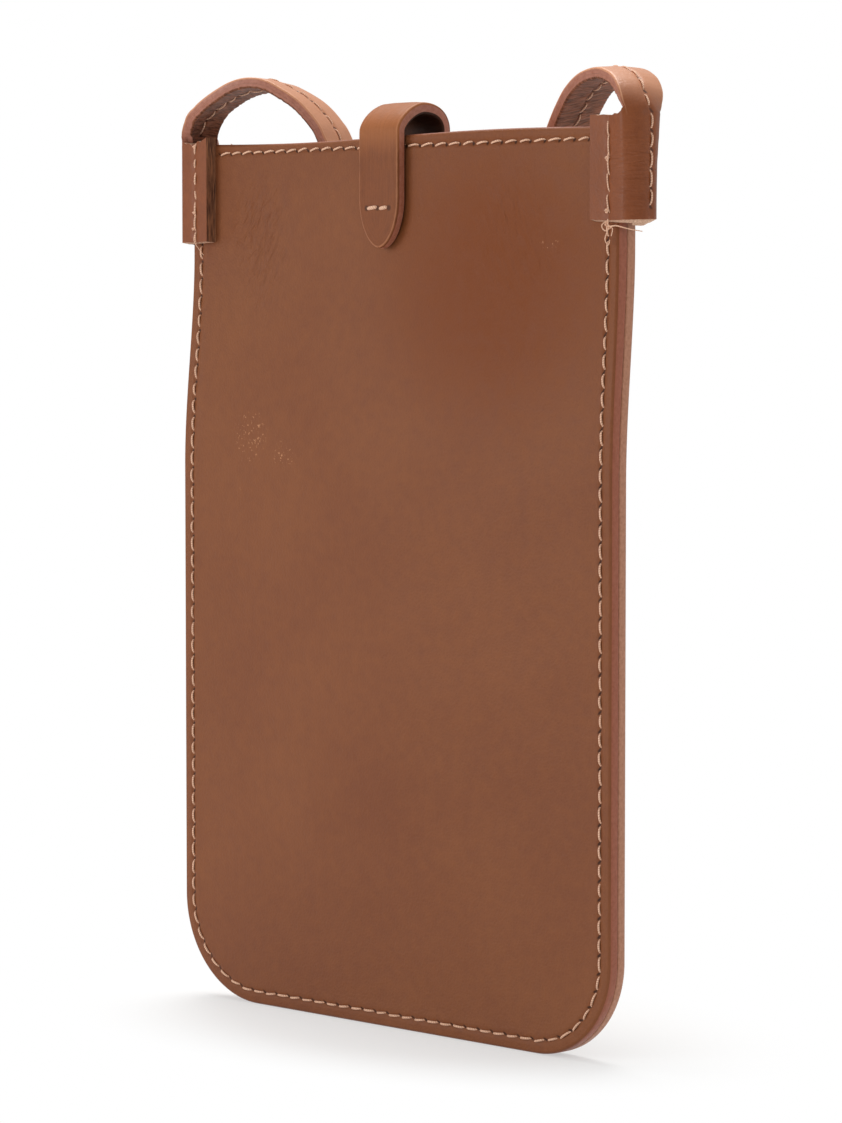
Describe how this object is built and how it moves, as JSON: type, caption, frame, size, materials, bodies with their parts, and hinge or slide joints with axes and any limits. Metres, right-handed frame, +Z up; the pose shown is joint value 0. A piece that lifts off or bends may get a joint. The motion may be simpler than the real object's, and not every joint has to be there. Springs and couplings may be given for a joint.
{
  "type": "card case",
  "caption": "Tall flat leather card and phone case, open at the top, with a closing tab over its mouth and a narrow shoulder strap sewn to its upper corners, shown wound up behind it",
  "frame": {"origin": "centre of the bounding box's bottom face, on the surface that the case stands on", "axes": "+Z up towards the mouth, -Y out of the front wall that carries the tab's tip, +X to the right as seen from the front"},
  "size_m": [0.1276, 0.0266, 0.1929],
  "materials": {
    "tan_leather": "semi-smooth vegetable-tanned leather, tan brown, faint creases",
    "lining_leather": "thin matt lining leather",
    "tan_leather_back": "semi-smooth vegetable-tanned leather, tan brown, faint creases",
    "lining_leather_back": "thin matt lining leather",
    "tab_leather_root": "smooth tan leather strip, lighter than the panels, burnished edges",
    "tab_flesh_root": "matt inner side of the strip, wrinkled across",
    "tab_leather": "smooth tan leather strip, lighter than the panels, burnished edges",
    "tab_flesh": "matt inner side of the strip, wrinkled across",
    "magnet_steel": "plated magnet disc, hidden",
    "magnet_steel_front": "plated magnet disc, hidden",
    "strap_end_left": "smooth tan leather strip, lighter than the panels, burnished edges",
    "strap_end_left_flesh": "matt inner side of the strip, wrinkled across",
    "strap_end_right": "smooth tan leather strip, lighter than the panels, burnished edges",
    "strap_end_right_flesh": "matt inner side of the strip, wrinkled across",
    "strap_left_leather": "smooth tan leather strip, lighter than the panels, burnished edges",
    "strap_left_flesh": "matt inner side of the strip, wrinkled across",
    "strap_right_leather": "smooth tan leather strip, lighter than the panels, burnished edges",
    "strap_right_flesh": "matt inner side of the strip, wrinkled across",
    "strap_wound_leather": "smooth tan leather strip, lighter than the panels, burnished edges",
    "strap_wound_flesh": "matt inner side of the strip, wrinkled across",
    "cotton_tape": "plain cotton tape"
  },
  "bodies": {
    "case": {"front_panel": "tan_leather", "front_lining": "lining_leather", "back_panel": "tan_leather_back", "back_lining": "lining_leather_back", "tab_root_outer": "tab_leather_root", "tab_root_inner": "tab_flesh_root", "front_magnet": "magnet_steel_front", "strap_end_left_outer": "strap_end_left", "strap_end_left_inner": "strap_end_left_flesh", "strap_end_right_outer": "strap_end_right", "strap_end_right_inner": "strap_end_right_flesh", "strap_left_outer": "strap_left_leather", "strap_left_inner": "strap_left_flesh", "strap_right_outer": "strap_right_leather", "strap_right_inner": "strap_right_flesh", "strap_wound_outer": "strap_wound_leather", "strap_wound_inner": "strap_wound_flesh", "strap_tie": "cotton_tape"},
    "tab": {"tab_outer": "tab_leather", "tab_inner": "tab_flesh", "tab_magnet": "magnet_steel"}
  },
  "joints": [
    {"name": "tab_hinge", "type": "hinge", "parent": "case", "child": "tab", "pos_m": [0.00013, 0.00199, 0.17948], "axis": [-1, 0, 0], "range_deg": [0, 150]}
  ]
}
